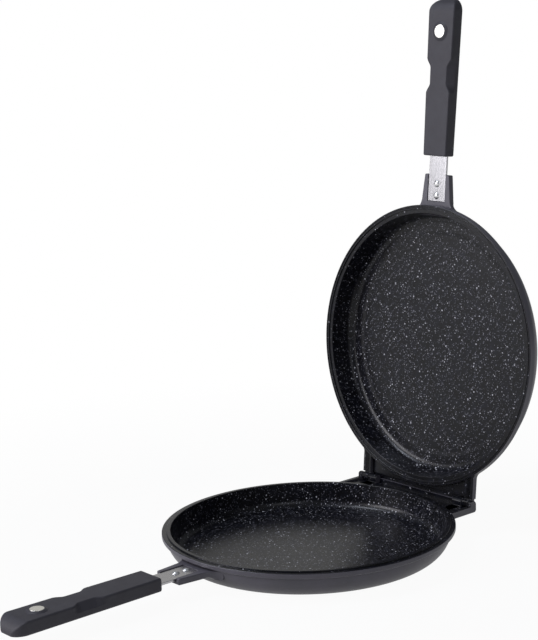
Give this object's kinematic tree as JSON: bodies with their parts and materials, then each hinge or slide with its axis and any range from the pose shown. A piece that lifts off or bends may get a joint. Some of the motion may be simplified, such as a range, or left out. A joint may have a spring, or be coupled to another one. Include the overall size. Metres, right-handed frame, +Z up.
{
  "type": "double sided flip pan",
  "caption": "Shallow round cooking pan with a mirrored upper pan hinged at the back, which closes rim to rim over the food so that both can be turned over by their straight handles.",
  "frame": {"origin": "centre of the lower pan's flat resting face", "axes": "+Z up, -Y along the lower handle, +Y towards the hinge, +X along the hinge axis to the right as seen from the handle's end"},
  "size_m": [0.27, 0.5284, 0.4935],
  "materials": {
    "coated_casting": "die-cast aluminium, dark non-stick coating with fine light specks inside, satin dark grey outside",
    "strip_steel": "brushed stainless steel",
    "rivet_steel": "bright steel, domed",
    "pin_steel": "ground steel",
    "screw_steel": "plated steel",
    "magnet_nickel": "nickel-plated magnet, polished",
    "grip_plastic": "heat-proof moulded plastic, satin black"
  },
  "bodies": {
    "lower_half": {"lower_pan": "coated_casting", "left_hinge_pin": "pin_steel", "right_hinge_pin": "pin_steel", "lower_handle_strip": "strip_steel", "lower_inner_rivet": "rivet_steel", "lower_outer_rivet": "rivet_steel", "lower_grip": "grip_plastic", "lower_grip_screw": "screw_steel", "lower_grip_magnet": "magnet_nickel"},
    "upper_half": {"upper_pan": "coated_casting", "upper_handle_strip": "strip_steel", "upper_inner_rivet": "rivet_steel", "upper_outer_rivet": "rivet_steel", "upper_grip": "grip_plastic", "upper_grip_screw": "screw_steel", "upper_grip_magnet": "magnet_nickel"}
  },
  "joints": [
    {"name": "pan_hinge", "type": "hinge", "parent": "lower_half", "child": "upper_half", "pos_m": [0, 0.141, 0.028], "axis": [1, 0, 0], "range_deg": [0, 95.5]}
  ]
}
